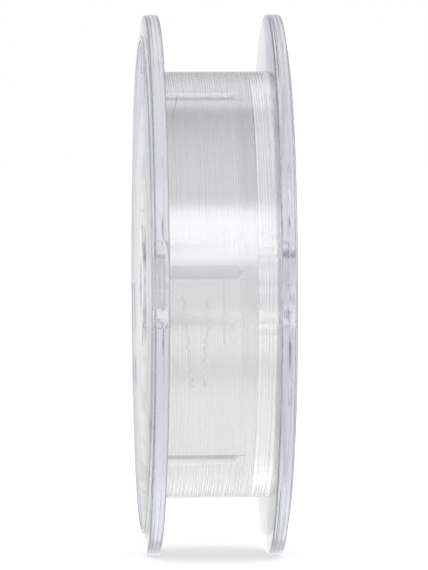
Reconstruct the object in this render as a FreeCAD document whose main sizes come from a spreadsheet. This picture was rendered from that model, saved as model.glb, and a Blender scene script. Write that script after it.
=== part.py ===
import FreeCAD, Part
import math
import os
import Sketcher

# A clear line spool: two moulded halves pressed together, fishing line wound on the drum
# between their flanges, and a round label on each outer face.
# The spool's axis is X and passes through the origin at mid-width. Z is up.
# In a half's own frame, depth runs along X from the outer face towards the other half.

SIZES = (
    ("flangeRadius", 34.0, "outer radius of both flanges"),
    ("rimThickness", 1.75, "thickness of a flange at its rim"),
    ("rimRounding", 0.3, "rounding of the rim's two corners"),
    ("gapWidth", 13.6, "space between the flanges, where the line lies"),
    ("faceRadius", 31.4, "radius of the raised face on each flange"),
    ("faceStep", 0.4, "height of the raised face over the rim"),
    ("seatRadius", 30.8, "outer radius of the shallow seat for the label"),
    ("seatDepth", 0.2, "depth of the label's seat below the raised face"),
    ("hubFaceRadius", 7.6, "radius of the plain ring round the bore"),
    ("boreRadius", 3.5, "radius of the bore for a spindle"),
    ("boreChamfer", 0.3, "chamfer at each mouth of the bore"),
    ("hubRadius", 5.0, "outer radius of the hub tube"),
    ("hubFillet", 0.9, "fillet between the hub tube and its flange"),
    ("socketRadius", 6.4, "outer radius of the socket that grips the hub tube"),
    ("socketLength", 3.0, "length of that socket"),
    ("drumRadius", 26.3, "outer radius of the drum"),
    ("drumWall", 1.0, "wall of the drum's sleeve, and of the spigot inside it"),
    ("bossLength", 2.4, "length of the drum that belongs to the right half"),
    ("ribCount", 6, "ribs inside the drum's sleeve"),
    ("ribLength", 9.3, "length of a rib from its flange"),
    ("ribThickness", 1.7, "thickness of a rib"),
    ("ribDepth", 0.26, "how far the crown of a rib stands in from the sleeve"),
    ("ribAngle", 4.4, "how far above level the front rib lies, in degrees"),
    ("seam", 0.04, "gap left at the press fits, under the line and behind the labels"),
    ("labelRadius", 30.6, "outer radius of a label"),
    ("labelHoleRadius", 7.8, "radius of a label's hole"),
    ("labelThickness", 0.14, "thickness of a label"),
    ("lineDiameter", 0.3, "diameter of the line"),
    ("layerCount", 2, "layers of line on the drum"),
    ("shownTurns", 16, "turns of the outer layer that the solid has"),
)

doc = FreeCAD.newDocument("LineSpool")
sheet = doc.addObject("Spreadsheet::Sheet", "Sizes")


class Measure:
    """A length that keeps both its number and the sheet formula that gives it."""

    def __init__(self, value, formula):
        self.value = value
        self.formula = formula

    def __add__(self, other):
        return Measure(self.value + other.value, f"({self.formula} + {other.formula})")

    def __sub__(self, other):
        return Measure(self.value - other.value, f"({self.formula} - {other.formula})")

    def __mul__(self, number):
        return Measure(self.value * number, f"({self.formula} * {number})")


size = {}
for row, (alias, value, meaning) in enumerate(SIZES, start=1):
    sheet.set(f"A{row}", meaning)
    sheet.set(f"B{row}", str(value))
    sheet.setAlias(f"B{row}", alias)
    size[alias] = Measure(value, f"Sizes.{alias}")
doc.recompute()

# Depths in a half's own frame
zero = Measure(0.0, "0")
seat_floor = size["seatDepth"]
rim_face = size["faceStep"]
inner_face = size["faceStep"] + size["rimThickness"]
half_width = inner_face + size["gapWidth"] * 0.5
sleeve_end = inner_face + size["gapWidth"] - size["bossLength"] - size["seam"]
hub_end = inner_face + size["gapWidth"] - size["seam"]
boss_end = inner_face + size["bossLength"]
spigot_end = inner_face + size["gapWidth"] - size["ribLength"] - size["seam"]
socket_end = inner_face + size["socketLength"]

# Radii that follow from the driving ones
sleeve_bore = size["drumRadius"] - size["drumWall"]
spigot_radius = sleeve_bore - size["seam"]
spigot_bore = spigot_radius - size["drumWall"]
socket_bore = size["hubRadius"] + size["seam"]
core_bore = size["drumRadius"] + size["seam"]
core_radius = size["drumRadius"] + size["lineDiameter"] * (size["layerCount"].value - 1)


def body_part(label):
    body = doc.addObject("PartDesign::Body", label)
    body.Label = label
    return body


def origin_feature(body, role):
    return next(item for item in body.Origin.OriginFeatures if item.Role == role)


def plane_sketch(body, name, role):
    sketch = body.newObject("Sketcher::SketchObject", name)
    sketch.AttachmentSupport = (origin_feature(body, role), "")
    sketch.MapMode = "FlatFace"
    return sketch


def dimension(sketch, name, constraint, measure):
    index = sketch.addConstraint(constraint)
    sketch.renameConstraint(index, name)
    sketch.setExpression(f"Constraints.{name}", measure.formula)


def outline(sketch, corners):
    """A closed outline of upright and level sides. Each side is tied to the sheet."""
    count = len(corners)
    points = [FreeCAD.Vector(depth.value, radius.value, 0) for depth, radius in corners]
    for side in range(count):
        sketch.addGeometry(Part.LineSegment(points[side], points[(side + 1) % count]), False)
    for side, (depth, radius) in enumerate(corners):
        following = (side + 1) % count
        sketch.addConstraint(Sketcher.Constraint("Coincident", side, 2, following, 1))
        if depth is not corners[following][0]:
            sketch.addConstraint(Sketcher.Constraint("Horizontal", side))
            height = Sketcher.Constraint("DistanceY", -1, 1, side, 1, radius.value)
            dimension(sketch, f"radius{side}", height, radius)
        elif depth is zero:
            sketch.addConstraint(Sketcher.Constraint("PointOnObject", side, 1, -2))
            sketch.addConstraint(Sketcher.Constraint("Vertical", side))
        else:
            sketch.addConstraint(Sketcher.Constraint("Vertical", side))
            distance = Sketcher.Constraint("DistanceX", -1, 1, side, 1, depth.value)
            dimension(sketch, f"depth{side}", distance, depth)


def turned(body, name, corners):
    """A solid of revolution about the spool's axis."""
    sketch = plane_sketch(body, name + "Section", "XZ_Plane")
    outline(sketch, corners)
    solid = body.newObject("PartDesign::Revolution", name)
    solid.Profile = sketch
    solid.ReferenceAxis = (sketch, ["H_Axis"])
    solid.Angle = 360.0
    sketch.Visibility = False
    doc.recompute()
    return solid


def flange_corners():
    """The outer face, label seat and rim, which both halves share, from bore to drum."""
    return [
        (zero, size["boreRadius"]),
        (zero, size["hubFaceRadius"]),
        (seat_floor, size["hubFaceRadius"]),
        (seat_floor, size["seatRadius"]),
        (zero, size["seatRadius"]),
        (zero, size["faceRadius"]),
        (rim_face, size["faceRadius"]),
        (rim_face, size["flangeRadius"]),
        (inner_face, size["flangeRadius"]),
        (inner_face, size["drumRadius"]),
    ]


def ring_edges(feature, radius, depth):
    """Names of the whole circles about the axis at this radius and depth."""
    names = []
    for number, edge in enumerate(feature.Shape.Edges, start=1):
        curve = edge.Curve
        if not isinstance(curve, Part.Circle):
            continue
        centre = curve.Center
        centred = math.hypot(centre.y, centre.z) < 1e-4
        if centred and abs(curve.Radius - radius) < 1e-4 and abs(centre.x - depth) < 1e-4:
            names.append(f"Edge{number}")
    return names


def finish_mouth_and_rim(body, solid):
    """Chamfer the bore's outer mouth, then round the rim's two corners."""
    chamfer = body.newObject("PartDesign::Chamfer", body.Name + "Mouth")
    chamfer.Base = (solid, ring_edges(solid, size["boreRadius"].value, 0.0))
    chamfer.setExpression("Size", size["boreChamfer"].formula)
    doc.recompute()
    rim = ring_edges(chamfer, size["flangeRadius"].value, rim_face.value)
    rim += ring_edges(chamfer, size["flangeRadius"].value, inner_face.value)
    fillet = body.newObject("PartDesign::Fillet", body.Name + "Rim")
    fillet.Base = (chamfer, rim)
    fillet.setExpression("Radius", size["rimRounding"].formula)
    doc.recompute()
    return fillet


def rib_outline(sketch):
    """A rib's section: straight sides inside the sleeve's wall, and a low crowned back."""
    half = size["ribThickness"] * 0.5
    root = sleeve_bore + size["drumWall"] * 0.5
    crown = sleeve_bore - size["ribDepth"]
    low, high = -half.value, half.value
    points = [
        FreeCAD.Vector(sleeve_bore.value, low, 0),
        FreeCAD.Vector(root.value, low, 0),
        FreeCAD.Vector(root.value, high, 0),
        FreeCAD.Vector(sleeve_bore.value, high, 0),
    ]
    for side in range(3):
        sketch.addGeometry(Part.LineSegment(points[side], points[side + 1]), False)
    top = FreeCAD.Vector(crown.value, 0, 0)
    sketch.addGeometry(Part.Arc(points[3], top, points[0]), False)
    sketch.addGeometry(Part.Point(top), True)
    sketch.addConstraint(Sketcher.Constraint("Coincident", 0, 2, 1, 1))
    sketch.addConstraint(Sketcher.Constraint("Coincident", 1, 2, 2, 1))
    sketch.addConstraint(Sketcher.Constraint("Coincident", 2, 2, 3, 1))
    sketch.addConstraint(Sketcher.Constraint("Coincident", 3, 2, 0, 1))
    sketch.addConstraint(Sketcher.Constraint("Horizontal", 0))
    sketch.addConstraint(Sketcher.Constraint("Vertical", 1))
    sketch.addConstraint(Sketcher.Constraint("Horizontal", 2))
    sketch.addConstraint(Sketcher.Constraint("Equal", 0, 2))
    sketch.addConstraint(Sketcher.Constraint("PointOnObject", 3, 3, -1))
    sketch.addConstraint(Sketcher.Constraint("PointOnObject", 4, 1, -1))
    sketch.addConstraint(Sketcher.Constraint("PointOnObject", 4, 1, 3))
    dimension(sketch, "half", Sketcher.Constraint("DistanceY", -1, 1, 1, 2, half.value), half)
    dimension(sketch, "root", Sketcher.Constraint("DistanceX", -1, 1, 1, 1, root.value), root)
    foot = Sketcher.Constraint("DistanceX", -1, 1, 0, 1, sleeve_bore.value)
    dimension(sketch, "foot", foot, sleeve_bore)
    dimension(sketch, "crown", Sketcher.Constraint("DistanceX", -1, 1, 4, 1, crown.value), crown)


def add_ribs(body, base):
    """Ribs along the inside of the sleeve. The other half's spigot stops against them."""
    sketch = plane_sketch(body, "RibSection", "YZ_Plane")
    turn = FreeCAD.Rotation(FreeCAD.Vector(0, 0, 1), -size["ribAngle"].value)
    sketch.AttachmentOffset = FreeCAD.Placement(FreeCAD.Vector(0, 0, inner_face.value), turn)
    sketch.setExpression("AttachmentOffset.Base.z", inner_face.formula)
    rib_outline(sketch)
    doc.recompute()
    before = base.Shape.Volume
    rib = body.newObject("PartDesign::Pad", "Rib")
    rib.Profile = sketch
    rib.setExpression("Length", size["ribLength"].formula)
    sketch.Visibility = False
    doc.recompute()
    ribs = body.newObject("PartDesign::PolarPattern", "Ribs")
    ribs.Originals = [rib]
    ribs.Axis = (origin_feature(body, "X_Axis"), [""])
    ribs.Angle = 360.0
    ribs.setExpression("Occurrences", size["ribCount"].formula)
    body.Tip = ribs
    doc.recompute()
    print("ribs add", round(ribs.Shape.Volume - before, 1), "mm3")
    return ribs


def left_half():
    """Left flange, the long sleeve of the drum, its ribs and the hub tube, in one moulding."""
    body = body_part("left_spool_half")
    corners = flange_corners() + [
        (sleeve_end, size["drumRadius"]),
        (sleeve_end, sleeve_bore),
        (inner_face, sleeve_bore),
        (inner_face, size["hubRadius"]),
        (hub_end, size["hubRadius"]),
        (hub_end, size["boreRadius"]),
    ]
    solid = finish_mouth_and_rim(body, turned(body, "LeftTurned", corners))
    root = body.newObject("PartDesign::Fillet", "HubRoot")
    root.Base = (solid, ring_edges(solid, size["hubRadius"].value, inner_face.value))
    root.setExpression("Radius", size["hubFillet"].formula)
    doc.recompute()
    add_ribs(body, root)
    body.Placement = FreeCAD.Placement(FreeCAD.Vector(-half_width.value, 0, 0), FreeCAD.Rotation())
    return body


def right_half():
    """Right flange, the drum's short boss, the spigot and the hub's socket, in one moulding."""
    body = body_part("right_spool_half")
    corners = flange_corners() + [
        (boss_end, size["drumRadius"]),
        (boss_end, spigot_radius),
        (spigot_end, spigot_radius),
        (spigot_end, spigot_bore),
        (inner_face, spigot_bore),
        (inner_face, size["socketRadius"]),
        (socket_end, size["socketRadius"]),
        (socket_end, socket_bore),
        (inner_face, socket_bore),
        (inner_face, size["boreRadius"]),
    ]
    solid = turned(body, "RightTurned", corners)
    finish_mouth_and_rim(body, solid)
    half_turn = FreeCAD.Rotation(FreeCAD.Vector(0, 0, 1), 180)
    body.Placement = FreeCAD.Placement(FreeCAD.Vector(half_width.value, 0, 0), half_turn)
    return body


def ring(label, outer, inner, width, start):
    """A flat ring or tube about the spool's axis, from start along X."""
    disc = doc.addObject("Part::Cylinder", label + "Disc")
    disc.setExpression("Radius", outer.formula)
    disc.setExpression("Height", width.formula)
    hole = doc.addObject("Part::Cylinder", label + "Hole")
    hole.setExpression("Radius", inner.formula)
    hole.setExpression("Height", width.formula)
    cut = doc.addObject("Part::Cut", label)
    cut.Label = label
    cut.Base = disc
    cut.Tool = hole
    along_x = FreeCAD.Rotation(FreeCAD.Vector(0, 1, 0), 90)
    cut.Placement = FreeCAD.Placement(FreeCAD.Vector(start, 0, 0), along_x)
    return cut


def labels():
    """A round label in the seat of each outer face."""
    back = half_width.value - seat_floor.value + size["seam"].value * 0.5
    front = back + size["labelThickness"].value
    made = []
    for label, start in (("left_label", -front), ("right_label", back)):
        made.append(
            ring(label, size["labelRadius"], size["labelHoleRadius"], size["labelThickness"], start)
        )
    return made


def line_core():
    """All but the outer layer of the line, as one plain tube on the drum."""
    width = size["gapWidth"] - size["seam"]
    return ring("line_inner_layers", core_radius, core_bore, width, -width.value / 2)


def biarc(start, start_way, end, end_way):
    """Two arcs that leave start along start_way, meet smoothly and reach end along end_way."""
    span = end - start
    both = start_way + end_way
    bend = 2.0 * (start_way.dot(end_way) - 1.0)
    reach = span.dot(both) * 2.0
    leg = (reach - math.sqrt(reach * reach - 4.0 * bend * span.dot(span))) / (2.0 * bend)
    first_apex = start + start_way * leg
    second_apex = end - end_way * leg
    joint = (first_apex + second_apex) * 0.5
    return [arc(start, first_apex, joint), arc(joint, second_apex, end)]


def arc(start, apex, end):
    """The arc from start to end whose end tangents cross at apex."""
    chord_middle = (start + end) * 0.5
    half_chord = (end - start).Length / 2
    height = (apex - chord_middle).Length
    half_turn = math.atan2(height, half_chord)
    rise = half_chord * math.tan(half_turn / 2)
    return Part.Arc(start, chord_middle + (apex - chord_middle) * (rise / height), end).toShape()


def outer_turns():
    """The outer layer of the line: one unbroken tube that ends square on each flange."""
    diameter = size["lineDiameter"].value
    radius = core_radius.value + size["seam"].value / 4 + diameter / 2
    flange = size["gapWidth"].value / 2
    first = -flange + 2 * diameter
    turns = int(size["shownTurns"].value)
    pitch = -2 * first / turns
    climb = pitch / (2 * math.pi)
    bend_angle = diameter / radius

    def on_drum(x, angle):
        return FreeCAD.Vector(x, radius * math.cos(angle), radius * math.sin(angle))

    def way(angle):
        along = FreeCAD.Vector(climb, -radius * math.sin(angle), radius * math.cos(angle))
        return along.normalize()

    along_axis = FreeCAD.Vector(1, 0, 0)
    first_end = on_drum(-flange, -bend_angle)
    last_angle = 2 * math.pi * turns
    last_end = on_drum(flange, last_angle + bend_angle)
    straight_in = first_end + along_axis * diameter
    straight_out = last_end - along_axis * diameter
    edges = [Part.LineSegment(first_end, straight_in).toShape()]
    edges += biarc(straight_in, along_axis, on_drum(first, 0.0), way(0.0))
    for half in range(2 * turns):
        low, high = math.pi * half, math.pi * (half + 1)
        start = on_drum(first + climb * low, low)
        end = on_drum(first + climb * high, high)
        edges += biarc(start, way(low), end, way(high))
    edges += biarc(on_drum(-first, last_angle), way(last_angle), straight_out, along_axis)
    edges.append(Part.LineSegment(straight_out, last_end).toShape())
    path = Part.Wire(edges)
    report_line(path, edges, diameter)

    section = Part.Wire([Part.Circle(first_end, along_axis, diameter / 2).toShape()])
    tube = path.makePipeShell([section], True, False)
    expected = math.pi * diameter * diameter / 4 * path.Length
    print("line volume", round(tube.Volume, 3), "mm3, section times length", round(expected, 3), "mm3")
    node = doc.addObject("Part::Feature", "line_outer_turns")
    node.Label = "line_outer_turns"
    node.Shape = tube
    node.Placement = FreeCAD.Placement()
    return node


def report_line(path, edges, diameter):
    """Print the line's length, its tightest arc and its least gap to itself."""
    points = path.discretize(Distance=diameter)
    steps_apart = int(math.pi * size["drumRadius"].value / diameter)
    least = min(
        (points[i] - points[j]).Length
        for i in range(0, len(points), 3)
        for j in range(i + steps_apart, len(points))
    )
    tightest = min(edge.Curve.Radius for edge in edges if isinstance(edge.Curve, Part.Circle))
    print("line length", round(path.Length, 1), "mm, tightest arc", round(tightest, 3), "mm")
    print("least gap of the line to itself", round(least - diameter, 3), "mm")


parts = [left_half(), right_half(), line_core(), outer_turns()] + labels()
doc.recompute()

for item in doc.Objects:
    if "Invalid" in item.State or "Error" in item.State:
        raise RuntimeError(f"{item.Name} did not build: {item.State}")
for item in parts:
    if item.Shape.isNull() or not item.Shape.isValid() or not item.Shape.Solids:
        raise RuntimeError(f"{item.Label} has no valid solid")

os.makedirs("parts", exist_ok=True)
for item in parts:
    item.Shape.exportStep(f"parts/{item.Label}.step")
    box = item.Shape.optimalBoundingBox(False)
    corners = [round(v, 2) for v in (box.XMin, box.YMin, box.ZMin, box.XMax, box.YMax, box.ZMax)]
    print(item.Label, "solids", len(item.Shape.Solids), "volume", round(item.Shape.Volume, 1), corners)
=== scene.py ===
# %% [markdown]
# A clear spool of fishing line.
# The real object is two crystal polystyrene mouldings pressed together, with clear
# monofilament wound on the drum between them and a clear printed label on each face.
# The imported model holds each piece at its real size, in metres, with the spool's axis along
# X. It is loaded first, because every new piece below takes its size and place from it.

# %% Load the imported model
import math
import random

import bpy
from mathutils import Matrix, Vector


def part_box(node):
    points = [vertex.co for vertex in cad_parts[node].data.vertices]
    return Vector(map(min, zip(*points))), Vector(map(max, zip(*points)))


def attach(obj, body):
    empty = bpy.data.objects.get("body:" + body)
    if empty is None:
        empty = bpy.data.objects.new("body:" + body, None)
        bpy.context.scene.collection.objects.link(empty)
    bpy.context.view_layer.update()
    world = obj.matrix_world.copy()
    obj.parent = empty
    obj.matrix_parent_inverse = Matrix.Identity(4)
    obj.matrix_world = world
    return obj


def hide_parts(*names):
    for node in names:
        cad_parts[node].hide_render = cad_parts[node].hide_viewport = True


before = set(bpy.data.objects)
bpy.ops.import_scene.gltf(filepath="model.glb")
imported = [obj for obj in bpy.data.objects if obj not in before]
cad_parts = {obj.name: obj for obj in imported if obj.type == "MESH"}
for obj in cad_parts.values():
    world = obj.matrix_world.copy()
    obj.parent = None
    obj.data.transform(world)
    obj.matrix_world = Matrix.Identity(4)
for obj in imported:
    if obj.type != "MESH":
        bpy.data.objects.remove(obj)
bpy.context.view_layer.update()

MM = 0.001

# %% [markdown]
# The spool is a turned shape, so a few radii and a few places along X describe it. Those
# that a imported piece's box shows are read from it, since a radius is half of a height. The
# others are real sizes in millimetres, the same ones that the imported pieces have. SEAM is the
# gap left at a press fit, AROUND is how many steps a spun piece takes to go round the axis,
# and two places closer than NEAR count as the same.

# %% Sizes of the spool
half_low, half_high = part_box("left_spool_half")
turns_low, turns_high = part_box("line_outer_turns")
label_low, label_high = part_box("right_label")

FLANGE_RADIUS = half_high.z
FACE_X = -half_low.x
INNER_X = turns_high.x
FACE_HEIGHT = 0.4 * MM
SEAT_DEPTH = 0.2 * MM
RIM_X = FACE_X - FACE_HEIGHT
SEAT_X = FACE_X - SEAT_DEPTH
FACE_RADIUS = 31.4 * MM
SEAT_RADIUS = 30.8 * MM
HUB_FACE_RADIUS = 7.6 * MM
BORE_RADIUS = 3.5 * MM
HUB_RADIUS = 5.0 * MM
SOCKET_RADIUS = 6.4 * MM
SOCKET_LENGTH = 3.0 * MM
DRUM_RADIUS = 26.3 * MM
WALL = 1.0 * MM
BOSS_LENGTH = 2.4 * MM
SEAM = 0.04 * MM
AROUND = 320
NEAR = 0.001 * MM
print("flange radius", round(FLANGE_RADIUS / MM, 2), "mm, line gap", round(2 * INNER_X / MM, 2), "mm")

# %% [markdown]
# Two helpers keep the materials short. Colours are written as sRGB hex, as in a paint
# program, and turned to the linear values that the renderer works in. A node is added with
# its settings, its input values and its incoming links in one call.

# %% Colour and node helpers
def hex_colour(text):
    """The linear colour, with full alpha, of an sRGB colour such as #8090A0."""
    channels = [int(text[i : i + 2], 16) / 255 for i in (1, 3, 5)]
    linear = [c / 12.92 if c <= 0.04045 else ((c + 0.055) / 1.055) ** 2.4 for c in channels]
    return (*linear, 1.0)


def add_node(tree, kind, values=None, links=None, **settings):
    """A node of this kind with its settings, input values and incoming links."""
    node = tree.nodes.new(kind)
    for name, value in settings.items():
        setattr(node, name, value)
    for name, value in (values or {}).items():
        node.inputs[name].default_value = value
    for name, socket in (links or {}).items():
        tree.links.new(socket, node.inputs[name])
    return node


def new_material(name):
    """An empty material, its node tree and its output."""
    material = bpy.data.materials.new(name)
    material.use_nodes = True
    tree = material.node_tree
    tree.nodes.clear()
    return material, tree, tree.nodes.new("ShaderNodeOutputMaterial")


def let_lamps_through(tree, shader, tint, output):
    """Lamps light what is behind this clear surface, which dims them a little."""
    path = add_node(tree, "ShaderNodeLightPath")
    clear = add_node(tree, "ShaderNodeBsdfTransparent", {"Color": hex_colour(tint)})
    mix = add_node(
        tree,
        "ShaderNodeMixShader",
        links={0: path.outputs["Is Shadow Ray"], 1: shader.outputs[0], 2: clear.outputs[0]},
    )
    tree.links.new(mix.outputs[0], output.inputs["Surface"])


print("0.5 grey in linear light is", round(hex_colour("#808080")[0], 3))

# %% [markdown]
# The two mouldings are crystal polystyrene, injection moulded in a polished mould. It is as
# clear as glass and bends light more, with an IOR of 1.59, so its rims carry light round
# inside them. A trace of blue toner gives it a lavender cast that shows only after a long
# way through the plastic, so it is a volume absorption and not a surface colour.
# Handling leaves a faint haze in patches about 11 mm wide, the mould leaves very slight
# waves about 17 mm long, and its turned rims leave fine lines round the spool. The cores that
# make the inside of the drum and the bore are left matt, so that the moulding slides off
# them: the attribute matt_core says how matt each face is. HAZE_RANGE is the part of the
# noise's values over which the haze grows from none to its full roughness.

# %% Material: crystal polystyrene
PLASTIC_IOR = 1.59
PLASTIC_SHADOW = "#FCFCFD"
MATT_ROUGHNESS = 0.2
HAZE_ROUGHNESS = 0.05
HAZE_RANGE = (0.35, 0.75)
HAZE_PATCHES_PER_METRE = 90.0
WAVES_PER_METRE = 60.0
WAVE_DEPTH = 0.02 * MM
TURNED_SPACING = 0.25 * MM
TURNED_DEPTH = 0.0015 * MM
TONER_COLOUR = "#C8C7DA"
TONER_DENSITY = 9.0


def crystal_polystyrene():
    """Clear plastic with a faint haze, slight waves, fine turned lines and a trace of toner."""
    material, tree, output = new_material("crystal polystyrene, moulded")
    place = add_node(tree, "ShaderNodeTexCoord").outputs["Object"]
    matt = add_node(tree, "ShaderNodeAttribute", attribute_name="matt_core").outputs["Fac"]
    haze = add_node(
        tree,
        "ShaderNodeTexNoise",
        {"Scale": HAZE_PATCHES_PER_METRE, "Detail": 3.0},
        {"Vector": place},
    )
    polished = add_node(
        tree,
        "ShaderNodeMapRange",
        {"From Min": HAZE_RANGE[0], "From Max": HAZE_RANGE[1], "To Max": HAZE_ROUGHNESS},
        {"Value": haze.outputs["Fac"]},
    )
    rough = add_node(
        tree,
        "ShaderNodeMath",
        {1: MATT_ROUGHNESS},
        {0: matt, 2: polished.outputs["Result"]},
        operation="MULTIPLY_ADD",
    )
    waves = add_node(
        tree, "ShaderNodeTexNoise", {"Scale": WAVES_PER_METRE, "Detail": 1.0}, {"Vector": place}
    )
    wavy = add_node(
        tree,
        "ShaderNodeBump",
        {"Strength": 0.15, "Distance": WAVE_DEPTH},
        {"Height": waves.outputs["Fac"]},
    )
    along = add_node(tree, "ShaderNodeSeparateXYZ", links={"Vector": place})
    lines = add_node(
        tree,
        "ShaderNodeTexNoise",
        {"Scale": 1 / TURNED_SPACING, "Detail": 2.0},
        {"W": along.outputs["X"]},
        noise_dimensions="1D",
    )
    turned = add_node(
        tree,
        "ShaderNodeBump",
        {"Strength": 0.5, "Distance": TURNED_DEPTH},
        {"Height": lines.outputs["Fac"], "Normal": wavy.outputs["Normal"]},
    )
    shader = add_node(
        tree,
        "ShaderNodeBsdfPrincipled",
        {"Base Color": hex_colour("#FFFFFF"), "IOR": PLASTIC_IOR, "Transmission Weight": 1.0},
        {"Roughness": rough.outputs["Value"], "Normal": turned.outputs["Normal"]},
    )
    let_lamps_through(tree, shader, PLASTIC_SHADOW, output)
    toner = add_node(
        tree,
        "ShaderNodeVolumeAbsorption",
        {"Color": hex_colour(TONER_COLOUR), "Density": TONER_DENSITY},
    )
    tree.links.new(toner.outputs["Volume"], output.inputs["Volume"])
    return material


POLYSTYRENE = crystal_polystyrene()
print(POLYSTYRENE.name, len(POLYSTYRENE.node_tree.nodes), "nodes")

# %% [markdown]
# The line is clear monofilament, drawn smooth. Nylon has an IOR of about 1.53, but turns
# that press on each other hide part of their edges, so a lower value and a little roughness
# give the soft ridges that a full spool shows.

# %% Material: clear monofilament
LINE_IOR = 1.45
LINE_ROUGHNESS = 0.03


def monofilament():
    """Clear line with a smooth drawn surface."""
    material, tree, output = new_material("clear monofilament, drawn")
    shader = add_node(
        tree,
        "ShaderNodeBsdfPrincipled",
        {
            "Base Color": hex_colour("#FFFFFF"),
            "IOR": LINE_IOR,
            "Transmission Weight": 1.0,
            "Roughness": LINE_ROUGHNESS,
        },
    )
    let_lamps_through(tree, shader, "#FFFFFF", output)
    return material


MONOFILAMENT = monofilament()
print(MONOFILAMENT.name, len(MONOFILAMENT.node_tree.nodes), "nodes")

# %% [markdown]
# Each label is clear film, printed on the back and glued into the shallow seat of the face.
# Its print is a pale silver haze with a band of coloured ring segments near the edge, three
# times round. The colours come from one ramp over the angle round the axis, and thin rings
# from the distance to it. Where there is no ink, the film is as clear as the plastic.
# A segment is given as where it starts in its third of the turn, its colour and how strong
# its ink is. A ring is given as where it starts, as a share of the seat's radius, and how
# strong its ink is. A Mix node has several sockets of one name, so they are given by number:
# it mixes numbers from inputs 2 and 3 into output 0, and colours from inputs 6 and 7 into
# output 2.

# %% Material: printed label film
CYAN, BLUE, ORANGE, PURPLE = "#A9D3E6", "#3E62C8", "#E39A78", "#A87CC9"
SILVER = "#C9CAD8"
PRINT_REPEATS = 3
PRINT_PHASE = 0.04
INK_ROUGHNESS = 0.3
SEGMENTS = [
    (0.0, SILVER, 0.12),
    (0.04, BLUE, 0.5),
    (0.07, PURPLE, 0.4),
    (0.1, ORANGE, 0.4),
    (0.15, SILVER, 0.12),
    (0.21, BLUE, 0.5),
    (0.27, CYAN, 0.16),
    (0.98, SILVER, 0.12),
]
BAND_STOPS = [(0.0, 0.0), (0.86, 1.0), (0.975, 0.0)]
HAZE_STOPS = [
    (0.0, 0.04),
    (0.3, 0.3),
    (0.31, 0.04),
    (0.44, 0.16),
    (0.52, 0.04),
    (0.63, 0.12),
    (0.66, 0.04),
    (0.74, 0.16),
    (0.81, 0.04),
    (0.84, 0.3),
    (0.85, 0.04),
    (0.99, 0.3),
]


def set_stops(ramp, stops):
    """Gives a ramp its steps. A stop is a place from 0 to 1 and a colour or a grey."""
    ramp.color_ramp.interpolation = "CONSTANT"
    elements = ramp.color_ramp.elements
    while len(elements) < len(stops):
        elements.new(1.0)
    for element, (place, tone) in zip(elements, stops):
        element.position = place
        element.color = hex_colour(tone) if isinstance(tone, str) else (tone, tone, tone, 1.0)


def label_film():
    """Clear film with rings of silver haze and a band of coloured ring segments."""
    material, tree, output = new_material("clear film, printed")
    place = add_node(tree, "ShaderNodeTexCoord").outputs["Object"]
    axes = add_node(tree, "ShaderNodeSeparateXYZ", links={"Vector": place})
    turn = add_node(
        tree,
        "ShaderNodeMath",
        links={0: axes.outputs["Z"], 1: axes.outputs["Y"]},
        operation="ARCTAN2",
    )
    repeat = add_node(
        tree,
        "ShaderNodeMath",
        {1: -PRINT_REPEATS / (2 * math.pi), 2: PRINT_PHASE},
        {0: turn.outputs["Value"]},
        operation="MULTIPLY_ADD",
    )
    part = add_node(tree, "ShaderNodeMath", links={0: repeat.outputs["Value"]}, operation="FRACT")
    flat = add_node(
        tree, "ShaderNodeCombineXYZ", links={"Y": axes.outputs["Y"], "Z": axes.outputs["Z"]}
    )
    radius = add_node(tree, "ShaderNodeVectorMath", links={0: flat.outputs["Vector"]}, operation="LENGTH")
    share = add_node(
        tree,
        "ShaderNodeMath",
        {1: SEAT_RADIUS},
        {0: radius.outputs["Value"]},
        operation="DIVIDE",
    )
    ramps = []
    for value, stops in (
        (part, [(place, colour) for place, colour, _ in SEGMENTS]),
        (part, [(place, strength) for place, _, strength in SEGMENTS]),
        (share, BAND_STOPS),
        (share, HAZE_STOPS),
    ):
        ramps.append(add_node(tree, "ShaderNodeValToRGB", links={"Fac": value.outputs["Value"]}))
        set_stops(ramps[-1], stops)
    colours, strengths, band, haze = ramps
    inked = add_node(
        tree,
        "ShaderNodeMath",
        links={0: band.outputs["Color"], 1: strengths.outputs["Color"]},
        operation="MULTIPLY",
    )
    cover = add_node(
        tree,
        "ShaderNodeMath",
        links={0: inked.outputs["Value"], 1: haze.outputs["Color"]},
        operation="MAXIMUM",
    )
    tint = add_node(
        tree,
        "ShaderNodeMix",
        {6: hex_colour(SILVER)},
        {0: band.outputs["Color"], 7: colours.outputs["Color"]},
        data_type="RGBA",
    )
    ink = add_node(
        tree,
        "ShaderNodeBsdfPrincipled",
        {"Roughness": INK_ROUGHNESS},
        {"Base Color": tint.outputs[2]},
    )
    clear = add_node(tree, "ShaderNodeBsdfTransparent", {"Color": hex_colour("#FFFFFF")})
    mix = add_node(
        tree,
        "ShaderNodeMixShader",
        links={0: cover.outputs["Value"], 1: clear.outputs[0], 2: ink.outputs[0]},
    )
    tree.links.new(mix.outputs[0], output.inputs["Surface"])
    return material


LABEL_FILM = label_film()
print(LABEL_FILM.name, len(LABEL_FILM.node_tree.nodes), "nodes")

# %% [markdown]
# Modelling helpers. A turned piece is drawn as its cross-section: a plane is merged to one
# vertex, which is extruded from corner to corner and then spun about the spool's axis, as a
# lathe would make it. Points and faces are picked by their place, because their numbers
# change.

# %% Modelling helpers
def deselect_all():
    """Deselects every object, because an operator acts on all that is selected."""
    bpy.ops.object.select_all(action="DESELECT")


def activate(piece):
    """Makes a piece the only one that operators act on."""
    deselect_all()
    bpy.context.view_layer.objects.active = piece
    piece.select_set(True)


def edit(piece):
    """Opens a piece in edit mode, with the points, edges or faces that were picked."""
    activate(piece)
    bpy.ops.object.mode_set(mode="EDIT")


def leave_edit():
    """Goes back to object mode, which writes the edit to the mesh."""
    bpy.ops.object.mode_set(mode="OBJECT")


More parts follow.
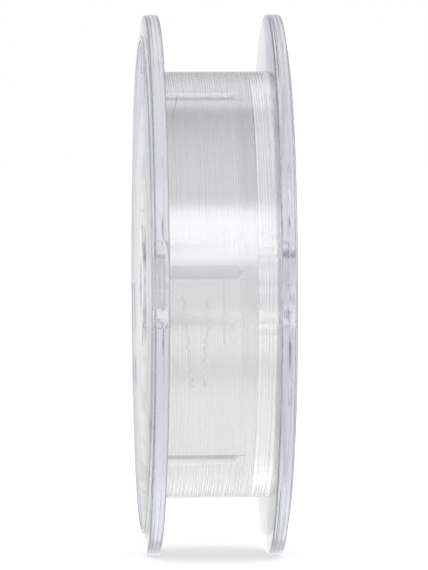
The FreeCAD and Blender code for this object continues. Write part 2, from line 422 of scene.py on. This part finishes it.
def pick_nothing(piece, kind):
    """Deselects all of a mesh, so that points or faces can be picked by their place."""
    edit(piece)
    bpy.ops.mesh.select_mode(type=kind)
    bpy.ops.mesh.select_all(action="DESELECT")
    leave_edit()


def trace_section(name, corners):
    """A closed outline of (along, radius) corners in the XZ plane, extruded from one vertex."""
    deselect_all()
    bpy.ops.mesh.primitive_plane_add(size=1 * MM, location=(0, 0, 0))
    piece = bpy.context.object
    piece.name = name
    bpy.ops.object.mode_set(mode="EDIT")
    bpy.ops.mesh.select_mode(type="VERT")
    bpy.ops.mesh.merge(type="CENTER")
    bpy.ops.transform.translate(value=(corners[0][0], 0, corners[0][1]))
    for here, there in zip(corners, corners[1:]):
        step = (there[0] - here[0], 0, there[1] - here[1])
        bpy.ops.mesh.extrude_vertices_move(TRANSFORM_OT_translate={"value": step})
    bpy.ops.mesh.select_all(action="SELECT")
    bpy.ops.mesh.edge_face_add()
    leave_edit()
    return piece


def round_corners(piece, corners, size, segments):
    """Rounds the outline's corners that lie at these (along, radius) places."""
    pick_nothing(piece, "VERT")
    for vertex in piece.data.vertices:
        gaps = [math.hypot(vertex.co.x - x, vertex.co.z - r) for x, r in corners]
        vertex.select = min(gaps) < NEAR
    edit(piece)
    bpy.ops.mesh.bevel(offset=size, segments=segments, affect="VERTICES")
    leave_edit()


def spin_section(piece):
    """Spins the outline once round the spool's axis and closes the join."""
    edit(piece)
    bpy.ops.mesh.select_all(action="SELECT")
    bpy.ops.mesh.delete(type="ONLY_FACE")
    bpy.ops.mesh.select_all(action="SELECT")
    bpy.ops.mesh.spin(
        steps=AROUND, angle=2 * math.pi, center=(0, 0, 0), axis=(1, 0, 0), use_auto_merge=True
    )
    bpy.ops.mesh.select_all(action="SELECT")
    bpy.ops.mesh.remove_doubles(threshold=NEAR)
    bpy.ops.mesh.normals_make_consistent(inside=False)
    leave_edit()
    print(piece.name, "spun,", len(piece.data.polygons), "faces")


def cut_flat(piece, place, normal):
    """Cuts a piece off at a plane, closes the cut and turns every face outward."""
    edit(piece)
    bpy.ops.mesh.select_mode(type="EDGE")
    bpy.ops.mesh.select_all(action="SELECT")
    bpy.ops.mesh.bisect(plane_co=place, plane_no=normal, clear_outer=True)
    bpy.ops.mesh.select_all(action="SELECT")
    bpy.ops.mesh.fill_holes(sides=0)
    bpy.ops.mesh.select_all(action="SELECT")
    bpy.ops.mesh.normals_make_consistent(inside=False)
    leave_edit()


def smooth(piece, degrees=35):
    """Shades a piece smooth, except across edges that are sharper than this."""
    activate(piece)
    bpy.ops.object.shade_smooth_by_angle(angle=math.radians(degrees))


def apply_modifiers(piece):
    """Makes what a piece's modifiers show its real mesh."""
    activate(piece)
    for modifier in list(piece.modifiers):
        bpy.ops.object.modifier_apply(modifier=modifier.name)


def finish_piece(piece, material, slot, *nodes):
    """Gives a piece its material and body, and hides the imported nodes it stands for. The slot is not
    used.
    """
    piece.data.materials.clear()
    piece.data.materials.append(material)
    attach(piece, "root")
    if nodes:
        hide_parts(*nodes)
    print(piece.name, "finished,", len(piece.data.polygons), "faces")


# %% [markdown]
# Both halves have the same outer face: a slightly crowned rim, a raised round face with a
# shallow seat for the label, and a plain ring round the bore. The left half goes on to the
# long sleeve of the drum and the hub tube, and the right half to the short boss, the spigot
# that presses into the sleeve and the socket that grips the hub tube. A section's corners are
# (along, radius) places. The one at HUB_ROOT ends the stretch of the hub tube that is left
# matt beside its flange.

# %% Sections of the two halves
CROWN_TILT = math.radians(8)
CROWN_RADIUS = (RIM_X - INNER_X) / 2 / math.sin(CROWN_TILT)
RIM_CORNER_RADIUS = FLANGE_RADIUS - CROWN_RADIUS * (1 - math.cos(CROWN_TILT))
CROWN_STEPS = 8
RIB_LENGTH = 9.3 * MM
rib_end = -INNER_X + RIB_LENGTH


def crown(way):
    """The rim's slightly rounded top, from its outer corner to its inner corner."""
    middle = (RIM_X + INNER_X) / 2
    tilts = [CROWN_TILT * (1 - 2 * i / CROWN_STEPS) for i in range(CROWN_STEPS + 1)]
    return [
        (way * (middle + CROWN_RADIUS * math.sin(t)), FLANGE_RADIUS - CROWN_RADIUS * (1 - math.cos(t)))
        for t in tilts
    ]


def face_corners(way):
    """The corners that both halves share, for the half that faces along way (-1 or 1)."""
    return [
        (way * FACE_X, BORE_RADIUS),
        (way * FACE_X, HUB_FACE_RADIUS),
        (way * SEAT_X, HUB_FACE_RADIUS),
        (way * SEAT_X, SEAT_RADIUS),
        (way * FACE_X, SEAT_RADIUS),
        (way * FACE_X, FACE_RADIUS),
        (way * RIM_X, FACE_RADIUS),
        *crown(way),
        (way * INNER_X, DRUM_RADIUS),
    ]


sleeve_end = INNER_X - BOSS_LENGTH - SEAM
sleeve_bore = DRUM_RADIUS - WALL
hub_end = INNER_X - SEAM
HUB_ROOT = 1.2 * MM
left_section = face_corners(-1) + [
    (sleeve_end, DRUM_RADIUS),
    (sleeve_end, sleeve_bore),
    (-INNER_X, sleeve_bore),
    (-INNER_X, HUB_RADIUS),
    (-INNER_X + HUB_ROOT, HUB_RADIUS),
    (hub_end, HUB_RADIUS),
    (hub_end, BORE_RADIUS),
]
boss_end = INNER_X - BOSS_LENGTH
spigot_radius = sleeve_bore - SEAM
spigot_end = rib_end + SEAM
right_section = face_corners(1) + [
    (boss_end, DRUM_RADIUS),
    (boss_end, spigot_radius),
    (spigot_end, spigot_radius),
    (spigot_end, spigot_radius - WALL),
    (INNER_X, spigot_radius - WALL),
    (INNER_X, SOCKET_RADIUS),
    (INNER_X - SOCKET_LENGTH, SOCKET_RADIUS),
    (INNER_X - SOCKET_LENGTH, HUB_RADIUS + SEAM),
    (INNER_X, HUB_RADIUS + SEAM),
    (INNER_X, BORE_RADIUS),
]
print("left half", len(left_section), "corners, right half", len(right_section), "corners")

# %% [markdown]
# A moulding has no sharp edges. The rim's corners are rounded, the raised face's steps and
# the bore's mouth are eased, and a fillet joins the hub tube to its flange. The drum's joint
# has a small chamfer on each side, which is what draws the thin line across it.

# %% Turn the two halves
RIM_ROUNDING = 0.14 * MM
MOUTH_ROUNDING = 0.3 * MM
STEP_ROUNDING = 0.08 * MM
JOINT_CHAMFER = 0.05 * MM
HUB_FILLET = 0.9 * MM


def turned_half(name, section, way, joint):
    """One half, turned from its section. It faces along way and its drum ends at joint."""
    piece = trace_section(name, section)
    rim = [(way * RIM_X, RIM_CORNER_RADIUS), (way * INNER_X, RIM_CORNER_RADIUS)]
    round_corners(piece, rim, RIM_ROUNDING, segments=4)
    round_corners(piece, [(way * FACE_X, BORE_RADIUS)], MOUTH_ROUNDING, segments=2)
    steps = [(way * FACE_X, r) for r in (HUB_FACE_RADIUS, SEAT_RADIUS, FACE_RADIUS)]
    round_corners(piece, steps, STEP_ROUNDING, segments=3)
    round_corners(piece, [(joint, DRUM_RADIUS)], JOINT_CHAMFER, segments=1)
    if way < 0:
        round_corners(piece, [(-INNER_X, HUB_RADIUS)], HUB_FILLET, segments=6)
    spin_section(piece)
    return piece


left = turned_half("left_half_clear", left_section, -1, sleeve_end)
right = turned_half("right_half_clear", right_section, 1, boss_end)

# %% [markdown]
# Six low ribs with round backs run along the inside of the sleeve, and the spigot stops
# against their ends. Seen through the line, a rib's back bends light like a lens, which
# draws the dark bar across the front of the drum. One rib is a rod with its end's edge
# beveled round. A bisect leaves only the side of it that stands in from the sleeve. It is
# copied round the axis and joined to the sleeve with a boolean union, so that the half is
# one piece of clear plastic.

# %% Ribs inside the sleeve
RIB_COUNT = 6
RIB_THICKNESS = 1.7 * MM
RIB_DEPTH = 0.26 * MM
RIB_ANGLE = math.radians(4.4)
RIB_END_ROUNDING = 0.8 * MM
RIB_ROOT = 0.5 * MM


def first_rib():
    """A rod with a rounded end, rooted in the flange and cut off inside the sleeve's wall."""
    half_width = RIB_THICKNESS / 2
    back_radius = (half_width**2 + RIB_DEPTH**2) / (2 * RIB_DEPTH)
    start = -INNER_X - RIB_ROOT
    length = rib_end - start
    centre = sleeve_bore - RIB_DEPTH + back_radius
    deselect_all()
    bpy.ops.mesh.primitive_cylinder_add(
        vertices=96,
        radius=back_radius,
        depth=length,
        location=((rib_end + start) / 2, centre, 0),
        rotation=(0, math.pi / 2, 0),
    )
    rib = bpy.context.object
    rib.name = "rib"
    bpy.ops.object.transform_apply(location=True, rotation=True, scale=True)
    pick_nothing(rib, "FACE")
    for face in rib.data.polygons:
        face.select = abs(face.center.x - rib_end) < NEAR
    edit(rib)
    bpy.ops.mesh.bevel(offset=RIB_END_ROUNDING, segments=8, affect="EDGES")
    leave_edit()
    cut_flat(rib, (0, sleeve_bore + WALL / 2, 0), (0, 1, 0))
    return rib


def turned_copy(piece, angle):
    """A copy of a piece with its own mesh, turned about the spool's axis."""
    activate(piece)
    bpy.ops.object.duplicate(linked=False)
    copy = bpy.context.object
    edit(copy)
    bpy.ops.mesh.select_all(action="SELECT")
    bpy.ops.transform.rotate(
        value=angle, orient_axis="X", orient_type="GLOBAL", center_override=(0, 0, 0)
    )
    leave_edit()
    return copy


rib = first_rib()
ribs = [turned_copy(rib, RIB_ANGLE + i * 2 * math.pi / RIB_COUNT) for i in range(RIB_COUNT)]
bpy.data.objects.remove(rib)
activate(ribs[0])
for copy in ribs[1:]:
    copy.select_set(True)
bpy.ops.object.join()
union = left.modifiers.new("ribs", "BOOLEAN")
union.operation = "UNION"
union.solver = "EXACT"
union.object = ribs[0]
apply_modifiers(left)
bpy.data.objects.remove(ribs[0])
print("left half with its ribs,", len(left.data.polygons), "faces")

# %% [markdown]
# The plastic was let into the left half's mould at the rim, and the gate was cut off flat.
# A bisect cuts that flat. The faces that the matt cores make are marked last, because a
# boolean and a bisect make new faces. The ribs and the hub tube's root, which are cut into
# the core by hand, are the most matt, and the bore, which a ground pin makes, is the least.
# A face is told by its centre, which lies a little off the round surface that it is part of.

# %% Gate mark and matt core
GATE_DEPTH = 0.13 * MM
GATE_TILT = math.radians(6)
RIB_MATT = 2.2
SLEEVE_MATT = 1.0
BORE_MATT = 0.4
OFF_SLEEVE = 0.02 * MM
OFF_HUB = 0.05 * MM
ONTO_RIB = 0.06 * MM
gate = (-(RIM_X + INNER_X) / 2, 0, FLANGE_RADIUS - GATE_DEPTH)
cut_flat(left, gate, (-math.sin(GATE_TILT), 0, math.cos(GATE_TILT)))


def mark_matt_core(piece):
    """Marks the faces that the matt core makes, the ribs more than the bores."""
    marks = piece.data.attributes.new("matt_core", "FLOAT", "FACE")
    count = 0
    for face in piece.data.polygons:
        x, y, z = face.center
        radius = math.hypot(y, z)
        in_sleeve = sleeve_bore - RIB_DEPTH - OFF_SLEEVE < radius < sleeve_bore + OFF_SLEEVE
        on_bore = radius < BORE_RADIUS + OFF_HUB
        at_root = abs(radius - HUB_RADIUS) < OFF_HUB and x < -INNER_X + HUB_ROOT
        if in_sleeve and -INNER_X + NEAR < x < sleeve_end - NEAR:
            matt = RIB_MATT if radius < sleeve_bore - ONTO_RIB else SLEEVE_MATT
        elif on_bore and abs(x) < SEAT_X - NEAR:
            matt = BORE_MATT
        elif at_root:
            matt = RIB_MATT
        else:
            continue
        marks.data[face.index].value = matt
        count += 1
    return count


for piece, node in ((left, "left_spool_half"), (right, "right_spool_half")):
    print(mark_matt_core(piece), "matt faces")
    smooth(piece)
    finish_piece(piece, POLYSTYRENE, "clear_plastic", node)

# %% [markdown]
# The line. The layers below the outer one show only as soft streaks, and by the light that
# each layer throws back, so each is a spun ring whose outline wanders in and out by up to two
# hundredths of a millimetre. Over the sleeve there are three thin rings, with air between
# them. Over the boss the line lies tighter, as one ring, and is clearer. The random draws
# start from a fixed seed, so that each run winds the same spool.

# %% Inner layers of line
LAYERS_RADIUS = 26.8 * MM
LAYER_COUNT = 3
LAYER_GAP = 0.01 * MM
LAYERS_WANDER = 0.016 * MM
BOSS_WANDER = 0.0075 * MM
STREAK_WIDTHS = (0.25 * MM, 0.6 * MM)
LINE_EDGE_ANGLE = 60
draws = random.Random(11)


def layer_ring(name, start, end, bore, radius, wander):
    """A ring of line between two places along the axis, with a wandering outer side."""
    outline = [(start, bore), (start, radius)]
    x = start + draws.uniform(*STREAK_WIDTHS)
    while x < end - STREAK_WIDTHS[0]:
        outline.append((x, radius - draws.uniform(0, wander)))
        x += draws.uniform(*STREAK_WIDTHS)
    outline += [(end, radius), (end, bore)]
    ring = trace_section(name, outline)
    spin_section(ring)
    smooth(ring, LINE_EDGE_ANGLE)
    return ring


layers_x = INNER_X - SEAM / 2
layers_bore = DRUM_RADIUS + SEAM
layer_step = (LAYERS_RADIUS - layers_bore) / LAYER_COUNT
rings = [
    layer_ring("line_under_layers", boss_end, layers_x, layers_bore, LAYERS_RADIUS, BOSS_WANDER)
]
for i in range(LAYER_COUNT):
    bore = layers_bore + i * layer_step
    top = bore + layer_step - LAYER_GAP
    sleeve_side = boss_end - LAYER_GAP
    rings.append(layer_ring("line_layer", -layers_x, sleeve_side, bore, top, LAYERS_WANDER))
activate(rings[0])
for ring in rings[1:]:
    ring.select_set(True)
bpy.ops.object.join()
finish_piece(rings[0], MONOFILAMENT, "line", "line_inner_layers")

# %% [markdown]
# The outer layer is a real helix. A small flattened ring is carried round the axis by a
# Screw modifier, one line's width along for each turn. A machine lays turns a little
# unevenly, so each is then shifted by a random share of the pitch, and raised or pressed down
# to a random share of the usual height. The ring starts as a circle one metre across, so its
# scale is its width and height.

# %% Outer layer of line
LINE_DIAMETER = 0.3 * MM
TURNS = 44
TURN_HEIGHT = 0.02 * MM
STEPS_PER_TURN = 128
FIRST_TURN = 0.62 * LINE_DIAMETER
TURN_SHARE = 0.99
HEIGHT_SHARES = (0.4, 1.2)
SHIFT_SHARE = 0.33


def wind(name, along, radius, width, height, sides, angle, advance, turns, steps):
    """A ring of this width and height, at (along, radius), carried round the axis."""
    deselect_all()
    bpy.ops.mesh.primitive_circle_add(
        vertices=sides, radius=0.5, location=(0, 0, 0), rotation=(math.pi / 2, 0, 0)
    )
    piece = bpy.context.object
    piece.name = name
    bpy.ops.object.transform_apply(location=False, rotation=True, scale=False)
    piece.scale = (width, 1, height)
    piece.location = (along, 0, radius)
    bpy.ops.object.transform_apply(location=True, rotation=False, scale=True)
    screw = piece.modifiers.new("turns", "SCREW")
    screw.axis = "X"
    screw.angle = angle
    screw.screw_offset = advance
    screw.iterations = turns
    screw.steps = steps
    screw.render_steps = steps
    screw.use_merge_vertices = False
    apply_modifiers(piece)
    edit(piece)
    bpy.ops.mesh.select_all(action="SELECT")
    bpy.ops.mesh.fill_holes(sides=sides)
    bpy.ops.mesh.normals_make_consistent(inside=False)
    leave_edit()
    return piece


def between(values, place):
    """The value at a place between whole numbers, from the values at those numbers."""
    whole = int(place)
    share = place - whole
    return values[whole] * (1 - share) + values[whole + 1] * share


first_x = -INNER_X + FIRST_TURN
pitch = -2 * first_x / TURNS
turns_floor = LAYERS_RADIUS + LAYER_GAP
outer = wind(
    "line_outer_layer",
    along=first_x,
    radius=turns_floor + TURN_HEIGHT / 2,
    width=TURN_SHARE * pitch,
    height=TURN_HEIGHT,
    sides=12,
    angle=2 * math.pi,
    advance=pitch,
    turns=TURNS,
    steps=STEPS_PER_TURN,
)
draws = random.Random(7)
heights = [draws.uniform(*HEIGHT_SHARES) for _ in range(TURNS + 2)]
shifts = [draws.uniform(-SHIFT_SHARE, SHIFT_SHARE) for _ in range(TURNS - 1)]
shifts = [0.0, *shifts, 0.0, 0.0]
for vertex in outer.data.vertices:
    place = min(max((vertex.co.x - first_x) / pitch, 0), TURNS)
    radius = math.hypot(vertex.co.y, vertex.co.z)
    raised = turns_floor + (radius - turns_floor) * between(heights, place)
    vertex.co.x += between(shifts, place) * pitch
    vertex.co.y *= raised / radius
    vertex.co.z *= raised / radius
smooth(outer, LINE_EDGE_ANGLE)
finish_piece(outer, MONOFILAMENT, "line", "line_outer_turns")
print(TURNS, "turns", round(pitch / MM, 3), "mm apart")

# %% [markdown]
# A few strands don't lie in step. One crosses from turn to turn, one stands a little proud,
# and two are kinked where the line was pinched as it was wound. Each is a short arc of the
# same winding, sunk into the layer at its ends, with its points nudged sideways for the
# kinks. A strand is given as its name, its place along the axis and how far along it goes in
# mm, the angle from the top at which it starts and the angle that it covers in degrees, and
# then how far it kinks sideways and how thick it is in mm.

# %% Stray strands
STRANDS = [
    ("line_crossing_strand", -4.9, -0.8, 28, 11, 0.0, 0.16),
    ("line_proud_strand", 0.2, 0.0, 88, 17, 0.03, 0.2),
    ("line_kinked_strand_a", -4.9, 1.1, 92, 25, 0.2, 0.3),
    ("line_kinked_strand_b", -1.9, -0.3, 93, 24, 0.18, 0.26),
]
STRAND_STEP = math.radians(0.8)
END_SINK = 0.2 * MM
SINK_POWER = 0.4
draws = random.Random(3)
for name, along, advance, first, sweep, kink, thickness in STRANDS:
    steps = int(math.radians(sweep) / STRAND_STEP)
    strand = wind(
        name,
        along=0,
        radius=turns_floor + TURN_HEIGHT,
        width=thickness * MM,
        height=thickness * MM,
        sides=8,
        angle=math.radians(sweep),
        advance=0,
        turns=1,
        steps=steps,
    )
    wander = [draws.uniform(-kink, kink) for _ in range(steps + 2)]
    for vertex in strand.data.vertices:
        x, y, z = vertex.co
        turned = math.atan2(-y, z)
        share = min(max(turned / math.radians(sweep), 0), 1)
        angle = turned + math.radians(first)
        radius = math.hypot(y, z) - END_SINK * (1 - math.sin(math.pi * share) ** SINK_POWER)
        aside = (along + advance * share + between(wander, share * steps)) * MM
        vertex.co = (x + aside, -radius * math.sin(angle), radius * math.cos(angle))
    smooth(strand, LINE_EDGE_ANGLE)
    finish_piece(strand, MONOFILAMENT, "line")

# %% [markdown]
# The labels are thin rings of film. Each sits in its seat with its inner side just inside
# the plastic, as a real one's glue leaves no air behind it, so that its colours also show
# through the edge of the face.

# %% Labels
LABEL_RADIUS = label_high.z
LABEL_BORE = 7.8 * MM
GLUE = 0.02 * MM


def label(name, way, node):
    """The label of the face that looks along way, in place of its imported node."""
    low, high = way * (SEAT_X - GLUE), way * label_high.x
    corners = [(low, LABEL_BORE), (high, LABEL_BORE), (high, LABEL_RADIUS), (low, LABEL_RADIUS)]
    piece = trace_section(name, corners)
    spin_section(piece)
    smooth(piece)
    finish_piece(piece, LABEL_FILM, "label", node)


label("left_label_film", -1, "left_label")
label("right_label_film", 1, "right_label")

# %% [markdown]
# The floor is pale and matt. The camera sees it white wherever the spool leaves it lit, and
# sees the spool's soft shadow on it. Clear plastic sees no shadow on it, but a painted glow:
# a painted pool of light, brightest under the spool, where the light that it gathers would
# fall, duller round it, and as bright as the walls' foot far away, so that no horizon shows.
# UNDER and AWAY are pairs of distances from the spool's foot, between which its brightness
# changes, and FRONT_TO_BEHIND is how far back the brightness in front goes on changing to the
# one behind.

# %% Floor
FLOOR_SIZE = 60.0
PAPER_COLOUR = "#E8E8E8"
FLOOR_GLOW = 0.45
# FLOOR_NEAR, FLOOR_FRONT and FLOOR_BEHIND are levels of the painted glow that clear surfaces see on the
# floor: a painted pool of light under the spool and a duller painted floor round it.
FLOOR_NEAR = 1.2
FLOOR_FRONT = 0.8
FLOOR_BEHIND = 0.9
HORIZON = 0.88
UNDER = (34 * MM, 46 * MM)
AWAY = (150 * MM, 400 * MM)
FRONT_TO_BEHIND = 30 * MM


def from_clear(tree, path):
    """1 where a ray comes from a clear or glossy surface, and 0 elsewhere."""
    either = add_node(
        tree,
        "ShaderNodeMath",
        links={0: path.outputs["Is Glossy Ray"], 1: path.outputs["Is Transmission Ray"]},
        operation="MAXIMUM",
    )
    return either.outputs["Value"]


def floor_finish():
    """Matt paper with a soft shadow, which clear surfaces see as a painted glow, brightest under the
    spool.
    """
    material, tree, output = new_material("pale studio paper with painted glow")
    path = add_node(tree, "ShaderNodeLightPath")
    place = add_node(tree, "ShaderNodeTexCoord").outputs["Object"]
    matt = add_node(tree, "ShaderNodeBsdfDiffuse", {"Color": hex_colour(PAPER_COLOUR)})
    lift = add_node(
        tree,
        "ShaderNodeMath",
        {1: FLOOR_GLOW},
        {0: path.outputs["Is Camera Ray"]},
        operation="MULTIPLY",
    )
    glow = add_node(tree, "ShaderNodeEmission", links={"Strength": lift.outputs["Value"]})
    lit = add_node(tree, "ShaderNodeAddShader", links={0: matt.outputs[0], 1: glow.outputs[0]})
    distance = add_node(tree, "ShaderNodeVectorMath", links={0: place}, operation="LENGTH")
    side = add_node(tree, "ShaderNodeSeparateXYZ", links={"Vector": place})
    behind = add_node(
        tree,
        "ShaderNodeMapRange",
        {"From Max": FRONT_TO_BEHIND, "To Min": FLOOR_FRONT, "To Max": FLOOR_BEHIND},
        {"Value": side.outputs["Y"]},
    )
    far = add_node(
        tree,
        "ShaderNodeMapRange",
        {"From Min": AWAY[0], "From Max": AWAY[1], "To Max": HORIZON},
        {"Value": distance.outputs["Value"], "To Min": behind.outputs["Result"]},
    )
    tone = add_node(
        tree,
        "ShaderNodeMapRange",
        {"From Min": UNDER[0], "From Max": UNDER[1], "To Min": FLOOR_NEAR},
        {"Value": distance.outputs["Value"], "To Max": far.outputs["Result"]},
    )
    # Painted glow: clear surfaces see this emission in place of the lit paper and its shadow.
    painted_glow = add_node(tree, "ShaderNodeEmission", links={"Strength": tone.outputs["Result"]})
    mix = add_node(
        tree,
        "ShaderNodeMixShader",
        links={0: from_clear(tree, path), 1: lit.outputs[0], 2: painted_glow.outputs[0]},
    )
    tree.links.new(mix.outputs[0], output.inputs["Surface"])
    return material


deselect_all()
bpy.ops.mesh.primitive_plane_add(size=FLOOR_SIZE, location=(0, 0, -FLANGE_RADIUS))
floor = bpy.context.object
floor.name = "studio_floor"
floor.data.materials.append(floor_finish())
print("floor at", round(floor.location.z / MM, 2), "mm")

# %% [markdown]
# The room. The camera sees it white. Diffuse surfaces get even soft light from it. What
# clear plastic shows is a plain studio: pale walls, duller at their foot and behind the
# spool, a darker ceiling, and the soft box in front of the spool, which fades at its edges.
# The world is a picture over directions of length 1. Each edge in it is a pair of places
# along X, Y or Z, or along the ceiling's own tilt, where the change starts and ends, and
# RISES and FALLS are how strong the thing beyond the edge is at those two places.

# %% World
WALLS = 1.0
CEILING = 0.5
BACK_WALL = 0.86
BOX = 1.85
EVEN_LIGHT = 0.85
ROOM_TINT = "#FBFBFF"
CEILING_TILT = math.radians(12.5)
CEILING_EDGE = (0.78, 0.85)
WALLS_FOOT = (0.06, 0.2)
BACK_FOOT, BACK_TOP, BACK_FRONT = (0.08, 0.2), (0.5, 0.7), (0.2, 0.4)
BOX_FOOT, BOX_TOP, BOX_SIDE, BOX_BACK = (0.15, 0.29), (0.56, 0.77), (0.22, 0.34), (-0.3, 0.0)
RISES, FALLS = (0, 1), (1, 0)


def soft_mask(tree, *edges):
    """The product of soft steps, each given as a value, its edge and the levels at its ends."""
    mask = None
    for socket, (start, end), (low, high) in edges:
        step = add_node(
            tree,
            "ShaderNodeMapRange",
            {"From Min": start, "From Max": end, "To Min": low, "To Max": high},
            {"Value": socket},
            interpolation_type="SMOOTHSTEP",
        ).outputs["Result"]
        if mask is None:
            mask = step
        else:
            both = add_node(tree, "ShaderNodeMath", links={0: mask, 1: step}, operation="MULTIPLY")
            mask = both.outputs["Value"]
    return mask


def studio_world():
    """The room: white to the camera, even light to matt surfaces, a picture to clear ones."""
    world = bpy.data.worlds.new("studio")
    world.use_nodes = True
    world.cycles.sampling_method = "NONE"
    tree = world.node_tree
    tree.nodes.clear()
    way = add_node(tree, "ShaderNodeTexCoord").outputs["Generated"]
    axes = add_node(tree, "ShaderNodeSeparateXYZ", links={"Vector": way})
    overhead = add_node(
        tree,
        "ShaderNodeVectorMath",
        {1: (0, -math.sin(CEILING_TILT), math.cos(CEILING_TILT))},
        {0: way},
        operation="DOT_PRODUCT",
    )
    x, y, z = axes.outputs
    height = add_node(tree, "ShaderNodeMath", links={0: z}, operation="ABSOLUTE")
    aside = add_node(tree, "ShaderNodeMath", links={0: x}, operation="ABSOLUTE")
    sides = soft_mask(tree, (height.outputs["Value"], WALLS_FOOT, (HORIZON, WALLS)))
    back = soft_mask(tree, (z, BACK_FOOT, RISES), (z, BACK_TOP, FALLS), (y, BACK_FRONT, RISES))
    above = soft_mask(tree, (overhead.outputs["Value"], CEILING_EDGE, RISES))
    box = soft_mask(
        tree,
        (z, BOX_FOOT, RISES),
        (z, BOX_TOP, FALLS),
        (aside.outputs["Value"], BOX_SIDE, FALLS),
        (y, BOX_BACK, FALLS),
    )
    level = sides
    for mask, brightness in ((back, BACK_WALL), (above, CEILING), (box, BOX)):
        mix = add_node(
            tree, "ShaderNodeMix", {3: brightness}, {0: mask, 2: level}, data_type="FLOAT"
        )
        level = mix.outputs[0]
    picture = add_node(
        tree, "ShaderNodeBackground", {"Color": hex_colour(ROOM_TINT)}, {"Strength": level}
    )
    white = hex_colour("#FFFFFF")
    light = add_node(tree, "ShaderNodeBackground", {"Color": white, "Strength": EVEN_LIGHT})
    backdrop = add_node(tree, "ShaderNodeBackground", {"Color": white, "Strength": 1.0})
    path = add_node(tree, "ShaderNodeLightPath")
    seen = add_node(
        tree,
        "ShaderNodeMixShader",
        links={0: from_clear(tree, path), 1: light.outputs[0], 2: picture.outputs[0]},
    )
    both = add_node(
        tree,
        "ShaderNodeMixShader",
        links={0: path.outputs["Is Camera Ray"], 1: seen.outputs[0], 2: backdrop.outputs[0]},
    )
    add_node(tree, "ShaderNodeOutputWorld", links={"Surface": both.outputs[0]})
    return world


bpy.context.scene.world = studio_world()
print("world", len(bpy.context.scene.world.node_tree.nodes), "nodes")

# %% [markdown]
# One large soft box lights the matt surfaces, the floor and the print. Its picture in the
# clear plastic is already in the world, so it is hidden from clear surfaces.

# %% Soft box
def soft_box(name, azimuth, elevation, distance, width, height, power):
    """A soft box that faces the spool. Azimuth 0 is in front of it."""
    data = bpy.data.lights.new(name, "AREA")
    data.shape = "RECTANGLE"
    data.size = width
    data.size_y = height
    data.energy = power
    lamp = bpy.data.objects.new(name, data)
    bpy.context.scene.collection.objects.link(lamp)
    a, e = math.radians(azimuth), math.radians(elevation)
    back = Vector((math.sin(a) * math.cos(e), -math.cos(a) * math.cos(e), math.sin(e)))
    lamp.location = back * distance
    lamp.rotation_euler = back.to_track_quat("Z", "Y").to_euler()
    lamp.visible_camera = False
    lamp.visible_glossy = False
    lamp.visible_transmission = False
    print(name, power, "W at", [round(v, 2) for v in lamp.location])


soft_box("key", azimuth=-2.0, elevation=27.0, distance=0.9, width=0.5, height=0.5, power=2.5)

# %% [markdown]
# The camera stands about 0.93 m away, a little to the left of the spool's mid-plane and a
# little above its middle, as in the photograph. Its lens is given in pixels: how many
# pixels wide a thing looks that is as wide as it is far away. A small shift puts the spool's
# centre at CENTRE_X, CENTRE_Y, in pixels of the frame.

# %% Camera
YAW = -2.884
LIFT = 1.0
ROLL = 0.17
DISTANCE = 931.6 * MM
LENS_PIXELS = 7398.6
FRAME_WIDTH, FRAME_HEIGHT = 428, 570
CENTRE_X, CENTRE_Y = 211.925, 284.618
SENSOR = 36.0
camera_data = bpy.data.cameras.new("camera")
camera_data.sensor_width = SENSOR
camera_data.lens = SENSOR * LENS_PIXELS / FRAME_HEIGHT
camera_data.shift_x = (FRAME_WIDTH / 2 - CENTRE_X) / FRAME_HEIGHT
camera_data.shift_y = -(FRAME_HEIGHT / 2 - CENTRE_Y) / FRAME_HEIGHT
camera = bpy.data.objects.new("camera", camera_data)
bpy.context.scene.collection.objects.link(camera)
bpy.context.scene.camera = camera
yaw, lift = math.radians(YAW), math.radians(LIFT)
back = Vector((math.sin(yaw) * math.cos(lift), -math.cos(yaw) * math.cos(lift), math.sin(lift)))
camera.location = back * DISTANCE
camera.rotation_mode = "QUATERNION"
roll = Matrix.Rotation(-math.radians(ROLL), 4, "Z").to_quaternion()
camera.rotation_quaternion = back.to_track_quat("Z", "Y") @ roll
print("lens", round(camera_data.lens, 1), "mm")

# %% [markdown]
# Light that goes through a clear spool crosses many surfaces, so paths get enough bounces.

# %% Render settings
scene = bpy.context.scene
scene.view_settings.view_transform = "Standard"
scene.cycles.transmission_bounces = 32
scene.cycles.max_bounces = 40
scene.cycles.glossy_bounces = 16
scene.cycles.transparent_max_bounces = 64
scene.cycles.caustics_refractive = True
